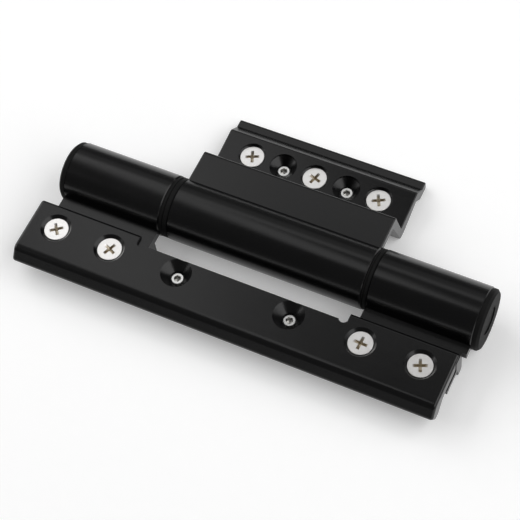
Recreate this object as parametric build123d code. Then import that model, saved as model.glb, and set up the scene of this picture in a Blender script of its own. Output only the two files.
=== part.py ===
from build123d import *
import math
import os

# Adjustable three-knuckle door hinge, lying flat and open.
# Millimetres. X runs along the barrel, Y across the leaves, Z up from the table.
# The section is drawn about the barrel axis, then everything is set on the table.

# Barrel and its three knuckles
BARREL_D = 23.3
OUTER_KNUCKLE_LENGTH = 39.3
CENTRE_KNUCKLE_LENGTH = 76.2
KNUCKLE_EDGE = 0.4
JOINT_GAP = 2.8
LEAF_SHIFT = 0.6
RUNNING_GAP = 0.1
FLANGE_THICKNESS = 1.35
FLANGE_INSET = 0.2
FLANGE_EDGE = 0.3
BUSH_D = 16.0
BUSH_LENGTH = 26.0
PIN_D = 12.0
PIN_INSET = 4.2
RUNNING_FIT = 0.05
PRESS_FIT = 0.02

# End caps
CAP_THICKNESS = 2.4
CAP_INSET = 0.3
CAP_EDGE = 0.9
CAP_SPIGOT_LENGTH = 1.6
CAP_RECESS_D = 10.4
CAP_RECESS_DEPTH = 0.45

# Grub screws that lock the pin in the outer knuckles
LOCK_SCREW_D = 5.0
LOCK_SCREW_SINK = 0.3
LOCK_SOCKET_FLATS = 2.5
LOCK_SOCKET_DEPTH = 1.8

# Clamp plate, the part of the frame leaf that is screwed down
PLATE_OVERHANG = 4.7
PLATE_WIDTH = 21.8
PLATE_THICKNESS = 6.0
PLATE_TOP = 1.6
PLATE_BACK = 16.2
PLATE_EDGE = 1.1
PLATE_BACK_RADIUS = 1.2
CREASE_RADIUS = 3.2
NOSE_REACH = 3.3
NOSE_DROP = 4.75
NOSE_EDGE_RADIUS = 1.2
NOSE_RAKE = 2.6
NOSE_FOOT = 3.2
NOSE_FOOT_RADIUS = 1.2
NOSE_ROOT = 9.7
NOSE_ROOT_RADIUS = 1.5
NOSE_CLEARANCE = 3.45
PLATE_SCREW_LINE = 9.2
NOTCH_DEPTH = 3.65
NOTCH_MARGIN = 3.45
NOTCH_SHIFT = 0.5
NOTCH_RELIEF_RADIUS = 1.7
NOTCH_RELIEF_DEPTH = 1.0

# Knuckle carrier, the part of the frame leaf that slides under the clamp plate
TONGUE_TOP = 0.3
TONGUE_THICKNESS = 3.1
TONGUE_LAP = 4.0
LAP_CLEARANCE = 0.1
CARRIER_FLANGE_WIDTH = 12.4
CARRIER_FLANGE_THICKNESS = 2.2
FLANGE_TRIM = 1.7
SLIDE_GAP = 0.1
HOOK_SETBACK = 1.4
HOOK_THICKNESS = 3.6
HOOK_CLEARANCE = 0.35
HOOK_RADIUS = 1.4
PLATE_SHIFT = 4.25
HEIGHT_TRAVEL = 6.0
SLOT_CLEARANCE = 0.35

# Centre leaf, one extrusion with the middle knuckle
LEAF_TOP_THICKNESS = 3.4
LEAF_TOP_REACH = 21.8
LEAF_STEP = 12.1
LEAF_STEP_RUN = 4.2
LEAF_WEB = 3.2
CHANNEL_WIDTH = 15.2
CHANNEL_THICKNESS = 4.0
CHANNEL_FALL = 1.65
RAIL_STEP = 3.8
RAIL_HEIGHT = 3.95
RAIL_RAMP = 4.2
RAIL_WIDTH = 3.8
RAIL_RADIUS = 1.1
RAIL_FOOT_WIDTH = 5.8
LEAF_EDGE_RADIUS = 1.4
LEAF_FOOT_CLEARANCE = 0.3
LEAF_FOOT_WIDTH = 3.6
LEAF_FOOT_RADIUS = 1.7
LEAF_INNER_RADIUS = 0.6
LEAF_END_EDGE = 0.5
LEAF_SCREW_INSET = 7.8

# Countersunk fixing screws, the same head on both leaves
HEAD_D = 9.2
HEAD_RIM = 0.3
HEAD_EDGE = 0.12
SHANK_D = 5.0
SHANK_CLEARANCE = 0.25
SEAT_GAP = 0.03
CROSS_LENGTH = 5.2
CROSS_WIDTH = 1.15
CROSS_DEPTH = 2.3
CROSS_TIP_D = 1.4
PLATE_CROSS_TURNS = (37, 22, -24, -2)
LEAF_CROSS_TURNS = (23, -17, 27)
PLATE_SINK_D = 11.5
LEAF_SINK_D = 10.3
LEAF_SINK_DEPTH = 1.25
TIP_CLEARANCE = 0.35
PLATE_SCREW_END = 10.95
NOTCH_SCREW_GAP = 11.3
LEAF_SCREW_PITCH = 25.7

# Adjusting screws, threaded through each leaf and pressing on what it is fixed to
ADJUSTER_D = 5.0
ADJUSTER_SOCKET_FLATS = 2.5
ADJUSTER_SOCKET_DEPTH = 2.0
ADJUSTER_SOCKET_POINT = 0.6
ADJUSTER_EDGE = 0.4
PLATE_ADJUSTER_SINK = 4.0
PLATE_ADJUSTER_PITCH = 44.3
LEAF_ADJUSTER_SINK = 4.1
ADJUSTER_CLEARANCE = 0.4

# Values worked out from the sizes above
BARREL_R = BARREL_D / 2
TABLE = -BARREL_R
LEAF_LEFT = LEAF_SHIFT - CENTRE_KNUCKLE_LENGTH / 2
LEAF_RIGHT = LEAF_SHIFT + CENTRE_KNUCKLE_LENGTH / 2
OUTER_START = CENTRE_KNUCKLE_LENGTH / 2 + JOINT_GAP
OUTER_END = OUTER_START + OUTER_KNUCKLE_LENGTH
FLANGE_D = BARREL_D - 2 * FLANGE_INSET
CAP_D = BARREL_D - 2 * CAP_INSET
PIN_END = OUTER_END - PIN_INSET
BORE_D = BUSH_D + 2 * PRESS_FIT
BUSH_BORE_D = PIN_D + 2 * RUNNING_FIT

PLATE_LENGTH = 2 * OUTER_END + PLATE_OVERHANG
PLATE_CENTRE = -PLATE_SHIFT
PLATE_LEFT = PLATE_CENTRE - PLATE_LENGTH / 2
PLATE_RIGHT = PLATE_CENTRE + PLATE_LENGTH / 2
PLATE_BOTTOM = PLATE_TOP - PLATE_THICKNESS
BACK_EDGE = -PLATE_BACK
CREASE = BACK_EDGE - PLATE_WIDTH
NOSE_FRONT = CREASE - NOSE_REACH
NOSE_BOTTOM = TABLE + NOSE_CLEARANCE
PLATE_LINE = BACK_EDGE - PLATE_SCREW_LINE
NOTCH_EDGE = BACK_EDGE - NOTCH_DEPTH
NOTCH_CENTRE = PLATE_CENTRE + NOTCH_SHIFT
NOTCH_LENGTH = CENTRE_KNUCKLE_LENGTH + 2 * NOTCH_MARGIN

CARRIER_TOP = PLATE_BOTTOM - SLIDE_GAP
CARRIER_BOTTOM = CARRIER_TOP - CARRIER_FLANGE_THICKNESS
TONGUE_FRONT = BACK_EDGE - TONGUE_LAP
LAP_EDGE = TONGUE_FRONT - LAP_CLEARANCE
LIP_BOTTOM = TONGUE_TOP + SLIDE_GAP
CARRIER_FRONT = BACK_EDGE - CARRIER_FLANGE_WIDTH
SLOT_LENGTH = HEIGHT_TRAVEL + 2 * SLOT_CLEARANCE
SLOT_SHIFT = HEIGHT_TRAVEL / 2

RAIL_TOP = TABLE + RAIL_HEIGHT
CHANNEL_TOP = RAIL_TOP + RAIL_STEP
CHANNEL_BOTTOM = CHANNEL_TOP - CHANNEL_THICKNESS
CHANNEL_START = LEAF_TOP_REACH + LEAF_STEP_RUN
CHANNEL_END = CHANNEL_START + CHANNEL_WIDTH
RAIL_START = CHANNEL_END + RAIL_RAMP
RAIL_END = RAIL_START + RAIL_WIDTH
RAIL_FOOT = RAIL_END - RAIL_FOOT_WIDTH
LEAF_SCREW_LINE = CHANNEL_START + LEAF_SCREW_INSET
CHANNEL_LOW = CHANNEL_TOP - CHANNEL_FALL
LEAF_FOOT = TABLE + LEAF_FOOT_CLEARANCE
LEAF_TOP = CHANNEL_TOP + LEAF_STEP

TIP = TABLE + TIP_CLEARANCE
ADJUSTER_TIP = TABLE + ADJUSTER_CLEARANCE
PLATE_HEAD_TOP = PLATE_TOP - (PLATE_SINK_D - HEAD_D) / 2 + HEAD_RIM
LEAF_HEAD_TOP = CHANNEL_TOP - LEAF_SINK_DEPTH - (LEAF_SINK_D - HEAD_D) / 2 + HEAD_RIM
SCREW_HOLE_D = SHANK_D + 2 * SHANK_CLEARANCE
ADJUSTER_HOLE_D = ADJUSTER_D + 2 * RUNNING_FIT
SIDES = {"left": -1, "right": 1}
PLATE_PITCHES = (PLATE_LENGTH - 2 * PLATE_SCREW_END, CENTRE_KNUCKLE_LENGTH + 2 * NOTCH_SCREW_GAP)
PLATE_SCREWS = [PLATE_CENTRE + side * pitch / 2 for pitch in PLATE_PITCHES for side in SIDES.values()]
PLATE_ADJUSTERS = [PLATE_CENTRE + side * PLATE_ADJUSTER_PITCH / 2 for side in SIDES.values()]
LEAF_SCREWS = [LEAF_SHIFT + step * LEAF_SCREW_PITCH for step in (-1, 0, 1)]
LEAF_ADJUSTERS = [LEAF_SHIFT + side * LEAF_SCREW_PITCH / 2 for side in SIDES.values()]

# The part stands on the table, centred on its own box
BOX_LEFT = min(PLATE_LEFT, -OUTER_END - CAP_THICKNESS)
BOX_RIGHT = max(PLATE_RIGHT, OUTER_END + CAP_THICKNESS)
ON_TABLE = Pos(-(BOX_LEFT + BOX_RIGHT) / 2, -(NOSE_FRONT + RAIL_END) / 2, -TABLE)

# Where an upright shape starts from: its lower face or its upper face
UPWARDS = (Align.CENTER, Align.CENTER, Align.MIN)
DOWNWARDS = (Align.CENTER, Align.CENTER, Align.MAX)


def extrusion(section, start, end):
    """A section drawn in Y and Z, run along the barrel from start to end."""
    return Pos(start, 0, 0) * extrude(Plane.YZ * section, end - start)


def rod(diameter, start, end):
    """A round bar on the barrel axis."""
    return extrusion(Circle(diameter / 2), start, end)


def knuckle(start, end):
    """A length of the barrel with both ends broken by a chamfer."""
    solid = rod(BARREL_D, start, end)
    return chamfer(solid.edges().filter_by(GeomType.CIRCLE), KNUCKLE_EDGE)


def outline(*corners):
    """A closed section from (y, z) corners, or (y, z, radius) where a corner is rounded."""
    section = Polygon(*[corner[:2] for corner in corners], align=None)
    for y, z, radius in [corner for corner in corners if len(corner) == 3]:
        vertex = section.vertices().sort_by_distance((y, z, 0))[0]
        section = fillet(vertex, radius)
    return section


def post(diameter, x, y, bottom, top):
    """An upright cylinder between two heights."""
    return Pos(x, y, bottom) * Cylinder(diameter / 2, top - bottom, align=UPWARDS)


def sink(top_d, bottom_d, x, y, top):
    """A 90 degree countersink that narrows downwards from top."""
    depth = (top_d - bottom_d) / 2
    return Pos(x, y, top) * Cone(bottom_d / 2, top_d / 2, depth, align=DOWNWARDS)


def socket(flats, depth):
    """A hexagon key socket, sunk below the origin or, with a negative depth, above it."""
    return extrude(RegularPolygon(flats / 2, 6, major_radius=False), -depth)


def fixing_screw(x, y, head_top, turn):
    """A countersunk screw with a cross recess, left at the turn it was driven to."""
    head_d = HEAD_D - 2 * SEAT_GAP
    rim_bottom = head_top - HEAD_RIM
    rim = post(head_d, x, y, rim_bottom, head_top)
    screw = chamfer(rim.edges().filter_by(GeomType.CIRCLE).sort_by(Axis.Z)[-1], HEAD_EDGE)
    screw += sink(head_d, SHANK_D, x, y, rim_bottom)
    screw += post(SHANK_D, x, y, TIP, rim_bottom)
    arms = Rectangle(CROSS_LENGTH, CROSS_WIDTH) + Rectangle(CROSS_WIDTH, CROSS_LENGTH)
    cross = extrude(arms, -CROSS_DEPTH)
    taper = Cone(CROSS_TIP_D / 2, CROSS_LENGTH / 2, CROSS_DEPTH, align=DOWNWARDS)
    return screw - Pos(x, y, head_top) * Rot(0, 0, turn) * (cross & taper)


def adjuster(x, y, top):
    """A plain set screw with a hexagon socket."""
    screw = post(ADJUSTER_D, x, y, ADJUSTER_TIP, top)
    screw = chamfer(screw.edges().filter_by(GeomType.CIRCLE), ADJUSTER_EDGE)
    point = Cone(0, ADJUSTER_SOCKET_FLATS / 2, ADJUSTER_SOCKET_POINT, align=DOWNWARDS)
    key = socket(ADJUSTER_SOCKET_FLATS, ADJUSTER_SOCKET_DEPTH)
    key += Pos(0, 0, -ADJUSTER_SOCKET_DEPTH) * point
    return screw - Pos(x, y, top) * key


def plate_hole(hole_d, x):
    """A hole through the clamp plate, countersunk from its top face."""
    hole = post(hole_d, x, PLATE_LINE, PLATE_BOTTOM, PLATE_TOP)
    return hole + sink(PLATE_SINK_D, hole_d, x, PLATE_LINE, PLATE_TOP)


def leaf_hole(hole_d, x):
    """A hole through the channel of the centre leaf, with a sunk countersink."""
    seat = CHANNEL_TOP - LEAF_SINK_DEPTH
    hole = post(hole_d, x, LEAF_SCREW_LINE, LEAF_FOOT, seat)
    hole += sink(LEAF_SINK_D, hole_d, x, LEAF_SCREW_LINE, seat)
    return hole + post(LEAF_SINK_D, x, LEAF_SCREW_LINE, seat, CHANNEL_TOP)


def clamp_plate():
    """The plate that is screwed to the frame, with a sloping nose along its front."""
    section = outline(
        (BACK_EDGE, PLATE_TOP, PLATE_BACK_RADIUS),
        (CREASE, PLATE_TOP, CREASE_RADIUS),
        (NOSE_FRONT, PLATE_TOP - NOSE_DROP, NOSE_EDGE_RADIUS),
        (NOSE_FRONT + NOSE_RAKE, NOSE_BOTTOM, NOSE_FOOT_RADIUS),
        (NOSE_FRONT + NOSE_RAKE + NOSE_FOOT, NOSE_BOTTOM, NOSE_FOOT_RADIUS),
        (NOSE_FRONT + NOSE_ROOT, PLATE_BOTTOM, NOSE_ROOT_RADIUS),
        (BACK_EDGE, PLATE_BOTTOM),
    )
    plate = extrusion(section, PLATE_LEFT, PLATE_RIGHT)
    ends = plate.faces().sort_by(Axis.X)
    plate = fillet(ends[0].edges() + ends[-1].edges(), PLATE_EDGE)

    under_lip = Box(PLATE_LENGTH, 2 * (BACK_EDGE - LAP_EDGE), 2 * (LIP_BOTTOM - PLATE_BOTTOM))
    plate -= Pos(PLATE_CENTRE, BACK_EDGE, PLATE_BOTTOM) * under_lip
    notch = Box(NOTCH_LENGTH, 2 * NOTCH_DEPTH, 2 * PLATE_THICKNESS)
    plate -= Pos(NOTCH_CENTRE, BACK_EDGE, PLATE_TOP) * notch
    relief_y = NOTCH_EDGE + NOTCH_RELIEF_RADIUS - NOTCH_RELIEF_DEPTH
    for side in SIDES.values():
        relief_x = NOTCH_CENTRE + side * (NOTCH_LENGTH / 2 - NOTCH_RELIEF_RADIUS)
        plate -= post(2 * NOTCH_RELIEF_RADIUS, relief_x, relief_y, PLATE_BOTTOM, PLATE_TOP)
    for x in PLATE_SCREWS:
        plate -= plate_hole(SCREW_HOLE_D, x)
    for x in PLATE_ADJUSTERS:
        plate -= plate_hole(ADJUSTER_HOLE_D, x)
    return plate


def knuckle_carrier():
    """Both outer knuckles, on a slotted flange that slides under the clamp plate."""
    tongue_bottom = TONGUE_TOP - TONGUE_THICKNESS
    hook_front = TONGUE_FRONT + HOOK_SETBACK
    hook_back = hook_front + HOOK_THICKNESS
    hook_bottom = TABLE + HOOK_CLEARANCE
    tongue_root = -math.sqrt(BARREL_R**2 - tongue_bottom**2)
    section = outline(
        (0, TONGUE_TOP),
        (TONGUE_FRONT, TONGUE_TOP),
        (TONGUE_FRONT, CARRIER_TOP),
        (CARRIER_FRONT, CARRIER_TOP),
        (CARRIER_FRONT, CARRIER_BOTTOM),
        (hook_front, CARRIER_BOTTOM),
        (hook_front, hook_bottom, HOOK_RADIUS),
        (hook_back, hook_bottom, HOOK_RADIUS),
        (hook_back, tongue_bottom),
        (tongue_root, tongue_bottom),
        (0, tongue_bottom),
    )
    carrier = extrusion(section, -OUTER_END, OUTER_END)
    behind = (Align.CENTER, Align.MIN, Align.CENTER)
    opening = Box(2 * OUTER_START, BARREL_D - TONGUE_FRONT, 2 * BARREL_D, align=behind)
    carrier -= Pos(0, TONGUE_FRONT, 0) * opening
    in_front = (Align.MAX, Align.MAX, Align.CENTER)
    trim = Box(FLANGE_TRIM, BARREL_D, 2 * BARREL_D, align=in_front)
    carrier -= Pos(OUTER_END, hook_back, 0) * trim
    carrier += knuckle(-OUTER_END, -OUTER_START) + knuckle(OUTER_START, OUTER_END)
    carrier -= rod(BORE_D, -OUTER_END, OUTER_END)

    slot = extrude(SlotCenterToCenter(SLOT_LENGTH, SCREW_HOLE_D), CARRIER_FLANGE_THICKNESS)
    for x in PLATE_SCREWS + PLATE_ADJUSTERS:
        carrier -= Pos(x + SLOT_SHIFT, PLATE_LINE, CARRIER_BOTTOM) * slot
    for side in (-1, 1):
        carrier -= post(LOCK_SCREW_D + 2 * PRESS_FIT, side * lock_screw_x(), 0, TABLE, 0)
    return carrier


def centre_leaf():
    """The door leaf: the middle knuckle and its stepped plate, one extrusion."""
    web_lean = LEAF_STEP_RUN / (LEAF_TOP - CHANNEL_LOW)
    web_bottom = CHANNEL_START + web_lean * (CHANNEL_LOW - LEAF_FOOT) - LEAF_WEB
    web_top = LEAF_TOP_REACH - LEAF_WEB
    top_under = LEAF_TOP - LEAF_TOP_THICKNESS
    section = outline(
        (0, LEAF_TOP),
        (0, top_under),
        (web_top, top_under, LEAF_INNER_RADIUS),
        (web_bottom, LEAF_FOOT, LEAF_FOOT_RADIUS),
        (web_bottom + LEAF_FOOT_WIDTH, LEAF_FOOT, LEAF_FOOT_RADIUS),
        (CHANNEL_END - LEAF_WEB / 2, CHANNEL_BOTTOM),
        (RAIL_FOOT, TABLE),
        (RAIL_END, TABLE, RAIL_RADIUS),
        (RAIL_END, RAIL_TOP, RAIL_RADIUS),
        (RAIL_START, RAIL_TOP, LEAF_INNER_RADIUS),
        (CHANNEL_END, CHANNEL_TOP, RAIL_RADIUS),
        (CHANNEL_START, CHANNEL_LOW, LEAF_INNER_RADIUS),
        (LEAF_TOP_REACH, LEAF_TOP, LEAF_EDGE_RADIUS),
    )
    leaf = extrusion(section, LEAF_LEFT, LEAF_RIGHT)
    ends = leaf.faces().sort_by(Axis.X)
    leaf = fillet(ends[0].edges() + ends[-1].edges(), LEAF_END_EDGE)
    leaf += knuckle(LEAF_LEFT, LEAF_RIGHT)
    leaf -= rod(BORE_D, LEAF_LEFT, LEAF_RIGHT)
    for x in LEAF_SCREWS:
        leaf -= leaf_hole(SCREW_HOLE_D, x)
    for x in LEAF_ADJUSTERS:
        leaf -= leaf_hole(ADJUSTER_HOLE_D, x)
    return leaf


def bush(face, direction, thickness):
    """A flanged bush: its flange lies on the knuckle's face, its sleeve goes in from there."""
    flange = rod(FLANGE_D, 0, thickness)
    flange = chamfer(flange.edges().filter_by(GeomType.CIRCLE), FLANGE_EDGE)
    sleeve = rod(BUSH_D, -BUSH_LENGTH, 0)
    whole = flange + sleeve - rod(BUSH_BORE_D, -BUSH_LENGTH, thickness)
    if direction < 0:
        whole = mirror(whole, Plane.YZ)
    return Pos(face, 0, 0) * whole


def end_cap(side):
    """A turned-edge cap with a round recess, plugged into the end of the barrel."""
    disc = rod(CAP_D, 0, CAP_THICKNESS)
    disc = chamfer(disc.edges().filter_by(GeomType.CIRCLE).sort_by(Axis.X)[-1], CAP_EDGE)
    cap = disc + rod(BUSH_D, -CAP_SPIGOT_LENGTH, 0)
    cap -= rod(CAP_RECESS_D, CAP_THICKNESS - CAP_RECESS_DEPTH, CAP_THICKNESS)
    if side < 0:
        cap = mirror(cap, Plane.YZ)
    return Pos(side * OUTER_END, 0, 0) * cap


def lock_screw_x():
    """The grub screw stands between the bush and the cap, where the pin shows."""
    bush_end = OUTER_START + BUSH_LENGTH
    return (bush_end + PIN_END) / 2


def lock_screw(side):
    """A grub screw that goes up through the knuckle and bears on the pin."""
    x = side * lock_screw_x()
    bottom = TABLE + LOCK_SCREW_SINK
    screw = post(LOCK_SCREW_D, x, 0, bottom, -PIN_D / 2 - PRESS_FIT)
    return screw - Pos(x, 0, bottom) * socket(LOCK_SOCKET_FLATS, -LOCK_SOCKET_DEPTH)


def save(node, *solids):
    """One file for each piece, or for a set of like fasteners."""
    placed = [ON_TABLE * solid for solid in solids]
    shape = placed[0] if len(placed) == 1 else Compound(children=placed)
    export_step(shape, f"parts/{node}.step")


os.makedirs("parts", exist_ok=True)

save("clamp_plate", clamp_plate())
save("knuckle_carrier", knuckle_carrier())
save("centre_leaf", centre_leaf())
save("hinge_pin", rod(PIN_D, -PIN_END, PIN_END))
for name, side in SIDES.items():
    leaf_end = LEAF_SHIFT + side * CENTRE_KNUCKLE_LENGTH / 2
    spacing = abs(side * OUTER_START - leaf_end) - RUNNING_GAP - FLANGE_THICKNESS
    save(f"{name}_outer_bush", bush(side * OUTER_START, -side, FLANGE_THICKNESS))
    save(f"{name}_centre_bush", bush(leaf_end, side, spacing))
    save(f"{name}_end_cap", end_cap(side))
    save(f"{name}_pin_lock_screw", lock_screw(side))

driven = zip(PLATE_SCREWS, PLATE_CROSS_TURNS)
save("plate_fixing_screws", *[fixing_screw(x, PLATE_LINE, PLATE_HEAD_TOP, turn) for x, turn in driven])
driven = zip(LEAF_SCREWS, LEAF_CROSS_TURNS)
save("leaf_fixing_screws", *[fixing_screw(x, LEAF_SCREW_LINE, LEAF_HEAD_TOP, turn) for x, turn in driven])

for name, plate_x, leaf_x in zip(SIDES, PLATE_ADJUSTERS, LEAF_ADJUSTERS):
    save(f"{name}_plate_adjuster", adjuster(plate_x, PLATE_LINE, PLATE_TOP - PLATE_ADJUSTER_SINK))
    save(f"{name}_leaf_adjuster", adjuster(leaf_x, LEAF_SCREW_LINE, CHANNEL_TOP - LEAF_ADJUSTER_SINK))
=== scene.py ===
# %% [markdown]
# # An adjustable door hinge
# The hinge lies open on a white table. Its shapes come from the CAD model, which is loaded as a
# fixed frame, so this lesson is about looks: a camera, a soft studio, and one finish for each
# metal or plastic.

# %% Load the frame
import bmesh
import bpy
import math
from mathutils import Matrix, Vector


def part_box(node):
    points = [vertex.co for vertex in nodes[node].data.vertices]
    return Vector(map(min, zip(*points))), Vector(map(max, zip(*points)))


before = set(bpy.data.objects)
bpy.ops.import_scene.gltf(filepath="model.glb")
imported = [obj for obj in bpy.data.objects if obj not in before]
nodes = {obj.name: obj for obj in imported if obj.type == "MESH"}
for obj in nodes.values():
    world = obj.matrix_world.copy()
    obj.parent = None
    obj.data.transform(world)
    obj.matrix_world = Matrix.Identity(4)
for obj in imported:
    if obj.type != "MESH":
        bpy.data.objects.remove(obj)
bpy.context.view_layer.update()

# %% [markdown]
# ## The camera
# A hinge this small is photographed from half a metre with a long lens. The camera could be aimed
# by a constraint, but the picture is also rolled, so the three directions of the camera are worked
# out from azimuth, elevation and roll and set as one matrix.

# %% Camera
AZIMUTH = math.radians(33.92)
ELEVATION = math.radians(59.28)
ROLL = math.radians(-9.92)
DISTANCE = 0.58307
TARGET = Vector((0.00071, -0.01230, 0.01165))
PICTURE_PIXELS = 520
FOCAL_PIXELS = 1632.97
NEAREST_SEEN = 0.01

level_right = Vector((math.cos(AZIMUTH), math.sin(AZIMUTH), 0))
level_back = Vector((math.sin(AZIMUTH), -math.cos(AZIMUTH), 0))
back = math.cos(ELEVATION) * level_back + math.sin(ELEVATION) * Vector((0, 0, 1))
level_up = back.cross(level_right)
right = math.cos(ROLL) * level_right + math.sin(ROLL) * level_up
up = math.cos(ROLL) * level_up - math.sin(ROLL) * level_right

lens = bpy.data.cameras.new("camera")
lens.angle = 2 * math.atan(PICTURE_PIXELS / 2 / FOCAL_PIXELS)
lens.clip_start = NEAREST_SEEN
camera = bpy.data.objects.new("camera", lens)
bpy.context.scene.collection.objects.link(camera)
turned = Matrix((right, up, back)).transposed().to_4x4()
camera.matrix_world = Matrix.Translation(TARGET + DISTANCE * back) @ turned
bpy.context.scene.camera = camera
print("field of view:", round(math.degrees(lens.angle), 2), "degrees")

# %% [markdown]
# ## Shader maths as Python
# A finish is a small formula over the surface. Wiring Math nodes by hand hides that formula, so a
# Value wraps a node's output and turns Python's operators into Math nodes, and a Finish adds every
# other node through one method.

# %% Value and Finish
class Value:
    """One output of a shader node: arithmetic on it adds Math nodes to the same material."""

    def __init__(self, finish, socket):
        self.finish = finish
        self.socket = socket

    def math(self, operation, first, second):
        return self.finish.node("ShaderNodeMath", {"operation": operation}, {0: first, 1: second})

    def __add__(self, other):
        return self.math("ADD", self, other)

    def __radd__(self, other):
        return self.math("ADD", other, self)

    def __sub__(self, other):
        return self.math("SUBTRACT", self, other)

    def __rsub__(self, other):
        return self.math("SUBTRACT", other, self)

    def __mul__(self, other):
        return self.math("MULTIPLY", self, other)

    def __rmul__(self, other):
        return self.math("MULTIPLY", other, self)


class Finish:
    """A material with its Principled shader, whose constants are set on the shader's sockets."""

    def __init__(self, name, **constants):
        self.material = bpy.data.materials.new(name)
        self.material.use_nodes = True
        self.tree = self.material.node_tree
        self.shader = self.tree.nodes["Principled BSDF"]
        self.surface(**constants)

    def node(self, kind, settings, inputs, output=0):
        """Adds a node: its settings come first, then the values or links of its sockets."""
        made = self.tree.nodes.new(kind)
        for name, value in settings.items():
            setattr(made, name, value)
        for key, value in inputs.items():
            self.join(value, made.inputs[key])
        return Value(self, made.outputs[output])

    def join(self, value, socket):
        """Links a Value to a socket, or sets a plain number or colour on it."""
        if isinstance(value, Value):
            self.tree.links.new(value.socket, socket)
        else:
            socket.default_value = value

    def surface(self, **sockets):
        """Sets or links the shader's sockets, named with _ for each space."""
        for socket, value in sockets.items():
            self.join(value, self.shader.inputs[socket.replace("_", " ")])

    def place(self):
        """Where a point is in its piece's own coordinates, in metres."""
        return self.node("ShaderNodeTexCoord", {}, {}, "Object")

    def grain(self, place, size, stretch=(1, 1, 1), detail=2.0):
        """Noise of about that size in metres, drawn out along each axis by its stretch."""
        scale = [1 / (size * share) for share in stretch]
        scaled = self.node("ShaderNodeMapping", {}, {"Vector": place, "Scale": scale})
        inputs = {"Vector": scaled, "Scale": 1.0, "Detail": detail}
        return self.node("ShaderNodeTexNoise", {}, inputs, "Fac")

    def ramp(self, value, low, high):
        """0 below low, 1 above high, smooth between them."""
        settings = {"interpolation_type": "SMOOTHSTEP"}
        inputs = {"Value": value, "From Min": low, "From Max": high}
        return self.node("ShaderNodeMapRange", settings, inputs)

    def blend(self, factor, first, second):
        """One colour turning into another, on the sockets that a Mix node keeps for colours."""
        inputs = {0: factor, 6: first, 7: second}
        return self.node("ShaderNodeMix", {"data_type": "RGBA"}, inputs, 2)

    def bump(self, height, strength, distance):
        """A relief of that depth in metres, too fine to be modelled."""
        inputs = {"Height": height, "Strength": strength, "Distance": distance}
        return self.node("ShaderNodeBump", {}, inputs, "Normal")

    def coat(self, *names):
        """Gives CAD nodes this finish."""
        for name in names:
            nodes[name].data.materials.clear()
            nodes[name].data.materials.append(self.material)
        print(self.material.name, "on", ", ".join(names))


# %% [markdown]
# ## The table
# The ground of the picture is plain white. A lamp strong enough to burn any table white would also
# bleach the hinge, so the paper is nearly white by itself and adds a little glow for the rays that
# come from the camera or from a glossy or clear surface. The shadow of the hinge still falls on it.

# %% Table
TABLE_SIZE = 6.0
TABLE_GLOW = 0.2
PAPER_SHADE = (0.88, 0.88, 0.88, 1)
PAPER_LIGHT = (0.91, 0.91, 0.91, 1)

bm = bmesh.new()
bmesh.ops.create_grid(bm, x_segments=1, y_segments=1, size=TABLE_SIZE / 2)
table_mesh = bpy.data.meshes.new("table")
bm.to_mesh(table_mesh)
bm.free()
table = bpy.data.objects.new("table", table_mesh)
bpy.context.scene.collection.objects.link(table)

paper = Finish("white_paper", Roughness=0.9, Emission_Color=(1, 1, 1, 1))
fibre = paper.grain(paper.place(), size=0.004)
paper.surface(Base_Color=paper.blend(fibre, PAPER_SHADE, PAPER_LIGHT))
camera_ray = paper.node("ShaderNodeLightPath", {}, {}, "Is Camera Ray")
glossy_ray = paper.node("ShaderNodeLightPath", {}, {}, "Is Glossy Ray")
clear_ray = paper.node("ShaderNodeLightPath", {}, {}, "Is Transmission Ray")
paper.surface(Emission_Strength=TABLE_GLOW * (camera_ray + glossy_ray + clear_ray))
table_mesh.materials.append(paper.material)
print("table:", TABLE_SIZE, "m square")

# %% [markdown]
# ## The studio
# Black metal shows its lamps more than its own colour. A narrow strip hangs above the hinge, from
# the back left to the front right: it draws the bright band along the barrel and lights the left of
# the flat faces. A strip and a dim panel behind it light the rear leaf. Two side panels reach the
# table and the sawn ends, but no flat face mirrors them to this camera. One sky texture could do
# all this, but separate lamps are easier to move one at a time.

# %% Softboxes
def softbox(name, place, size, radiance, tilt=0.0, turn=0.0):
    """A flat lamp facing down, tipped about Y and turned about Z, with that radiance all over."""
    light = bpy.data.lights.new(name, "AREA")
    light.shape = "RECTANGLE"
    light.size, light.size_y = size
    light.energy = radiance * math.pi * size[0] * size[1]
    lamp = bpy.data.objects.new(name, light)
    bpy.context.scene.collection.objects.link(lamp)
    lamp.location = place
    lamp.rotation_euler = (0, math.radians(tilt), math.radians(turn))
    print(name, round(light.energy, 2), "W")


softbox("diagonal_strip", place=(-0.36, 0.2, 1.0), size=(0.25, 1.0), radiance=1.15, turn=29)
softbox("back_strip", place=(-0.2, 0.66, 1.0), size=(2.4, 0.3), radiance=0.85)
softbox("back_panel", place=(0.0, 1.1, 1.0), size=(2.4, 1.24), radiance=0.25)
softbox("right_panel", place=(1.15, 0.3, 1.0), size=(1.3, 2.4), radiance=1.85, tilt=49)
softbox("left_panel", place=(-1.35, 0.1, 0.85), size=(1.2, 2.2), radiance=2.1, tilt=-58)

# %% [markdown]
# ## The room
# Around the lamps the studio is a dim grey room. It could be white to the camera alone, but then the
# metal would mirror another room than the one that is seen, and a room that is white to both would
# bleach every black face. So it is the same grey for all, and the white ground is left to the table.

# %% Room
ROOM_GREY = 0.14

world = bpy.data.worlds.new("room")
bpy.context.scene.world = world
world.use_nodes = True
room = world.node_tree.nodes["Background"]
room.inputs["Color"].default_value = (ROOM_GREY, ROOM_GREY, ROOM_GREY, 1)
bpy.context.scene.view_settings.view_transform = "Standard"
print("room grey:", ROOM_GREY)

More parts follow.
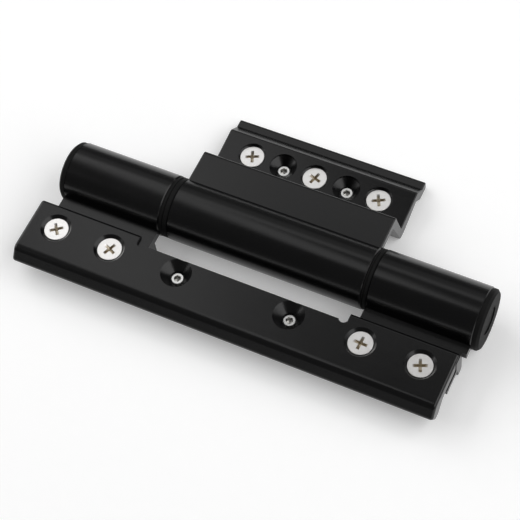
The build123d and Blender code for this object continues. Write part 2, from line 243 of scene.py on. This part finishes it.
# %% [markdown]
# ## Satin black coat
# The leaves are aluminium extrusions with a thin black coat. The coat is nearly black, so most of
# what is seen is its soft gloss. Faint lines run along the barrel, as the die left them, and the
# sawn ends are a little greyer. Lines this fine could be cut into the mesh only with very many
# faces, so noise drawn out along X makes them. The sawn ends could have a material of their own,
# but the way that a face points already tells them apart.

# %% Black coat on the extrusions
COAT_DARK = (0.001, 0.001, 0.0011, 1)
COAT_LIGHT = (0.002, 0.002, 0.0022, 1)
SAWN_GREY = (0.02, 0.02, 0.021, 1)

black_coat = Finish("satin_black_coat", Specular_IOR_Level=0.4)
place = black_coat.place()
cloud = black_coat.grain(place, size=0.018)
speckle = black_coat.grain(place, size=0.00025, detail=3.0)
die_lines = black_coat.grain(place, size=0.0003, stretch=(120, 1, 1))
facing = black_coat.node("ShaderNodeNewGeometry", {}, {}, "Normal")
along = black_coat.node("ShaderNodeSeparateXYZ", {}, {0: facing}, "X")
sawn = black_coat.ramp(along * along, low=0.6, high=0.9)
coat_colour = black_coat.blend(cloud, COAT_DARK, COAT_LIGHT)
black_coat.surface(
    Base_Color=black_coat.blend(sawn, coat_colour, SAWN_GREY),
    Roughness=0.16 + 0.06 * cloud + 0.06 * die_lines,
    Normal=black_coat.bump(0.6 * speckle + 0.4 * die_lines, strength=0.12, distance=0.0001),
)
black_coat.coat("clamp_plate", "knuckle_carrier", "centre_leaf")

# %% [markdown]
# ## Black nylon
# The end caps and the flanged bushes are moulded. Nylon is duller than the coat and has a fine, even
# grain from the mould. A picture of such a grain could be wrapped round each piece, but noise in the
# piece's own coordinates needs no wrapping and has no seam.

# %% Nylon on caps and bushes
NYLON_DARK = (0.005, 0.005, 0.005, 1)
NYLON_LIGHT = (0.008, 0.008, 0.008, 1)

nylon = Finish("black_nylon", Specular_IOR_Level=0.1)
place = nylon.place()
moulding = nylon.grain(place, size=0.0002, detail=3.0)
tone = nylon.grain(place, size=0.006)
nylon.surface(
    Base_Color=nylon.blend(tone, NYLON_DARK, NYLON_LIGHT),
    Roughness=0.55 + 0.1 * tone,
    Normal=nylon.bump(moulding, strength=0.15, distance=0.0001),
)
nylon.coat("left_end_cap", "left_outer_bush", "left_centre_bush")
nylon.coat("right_end_cap", "right_outer_bush", "right_centre_bush")

# %% [markdown]
# ## Bright zinc screws
# The countersunk heads are plated and almost white under the lamps. Faint scratches run across each
# head, and everything below the top face, in the cross recess, is painted darker and browner as
# shade. The recess could have a material of its own, but how far a point lies below the top already
# tells it apart, and the mesh stays as it is.

# %% Zinc on the fixing screws
ZINC_DULL = (0.80, 0.79, 0.77, 1)
ZINC_BRIGHT = (0.90, 0.89, 0.88, 1)
SHADED_ZINC = (0.56, 0.50, 0.40, 1)


def zinc_screws(name, node):
    """Bright plating, with painted shade below the top of the heads."""
    head_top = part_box(node)[1].z
    zinc = Finish(name, Metallic=1.0)
    place = zinc.place()
    height = zinc.node("ShaderNodeSeparateXYZ", {}, {0: place}, "Z")
    # Below the top of the head the plating turns darker and browner: painted shade in the cross
    # recess.
    recess = zinc.ramp(head_top - height, low=0.00008, high=0.0009)
    smear = zinc.grain(place, size=0.0016)
    scratch = zinc.grain(place, size=0.0001, stretch=(1, 12, 1), detail=3.0)
    plating = zinc.blend(smear, ZINC_DULL, ZINC_BRIGHT)
    zinc.surface(
        Base_Color=zinc.blend(recess, plating, SHADED_ZINC),
        Roughness=0.28 + 0.1 * smear + 0.06 * scratch,
        Normal=zinc.bump(scratch, strength=0.1, distance=0.00005),
    )
    zinc.coat(node)


zinc_screws("bright_zinc_plate", "plate_fixing_screws")
zinc_screws("bright_zinc_leaf", "leaf_fixing_screws")

# %% [markdown]
# ## Steel set screws and pin
# The set screws are plain bright steel, and their hexagon sockets are painted darker as shade. The
# pin is the same steel, ground smooth and oiled, with the same painted shade below its top, and is
# hidden in the barrel. One steel could serve them all, but each pair of screws stands at its own
# height, so a function makes the finish for a pair and measures its top.

# %% Steel
STEEL_DULL = (0.62, 0.62, 0.61, 1)
STEEL_BRIGHT = (0.74, 0.74, 0.73, 1)
SHADED_STEEL = (0.42, 0.41, 0.39, 1)


def bright_steel(name, *members):
    """Ground steel, with painted shade below the top edge of the first member, where the sockets
    are.
    """
    steel = Finish(name, Metallic=1.0)
    place = steel.place()
    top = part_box(members[0])[1].z
    height = steel.node("ShaderNodeSeparateXYZ", {}, {0: place}, "Z")
    # Below the top the steel turns darker: painted shade in the sockets and on the lower part of the
    # pin.
    below = steel.ramp(top - height, low=0.0005, high=0.0016)
    smear = steel.grain(place, size=0.0012)
    grind = steel.grain(place, size=0.0001, stretch=(1, 1, 8))
    bright = steel.blend(smear, STEEL_DULL, STEEL_BRIGHT)
    steel.surface(
        Base_Color=steel.blend(below, bright, SHADED_STEEL),
        Roughness=0.2 + 0.12 * smear,
        Normal=steel.bump(grind, strength=0.1, distance=0.00005),
    )
    steel.coat(*members)


bright_steel("plate_set_screw_steel", "left_plate_adjuster", "right_plate_adjuster")
bright_steel("leaf_set_screw_steel", "left_leaf_adjuster", "right_leaf_adjuster")
bright_steel("grub_screw_steel", "left_pin_lock_screw", "right_pin_lock_screw")
bright_steel("ground_pin_steel", "hinge_pin")
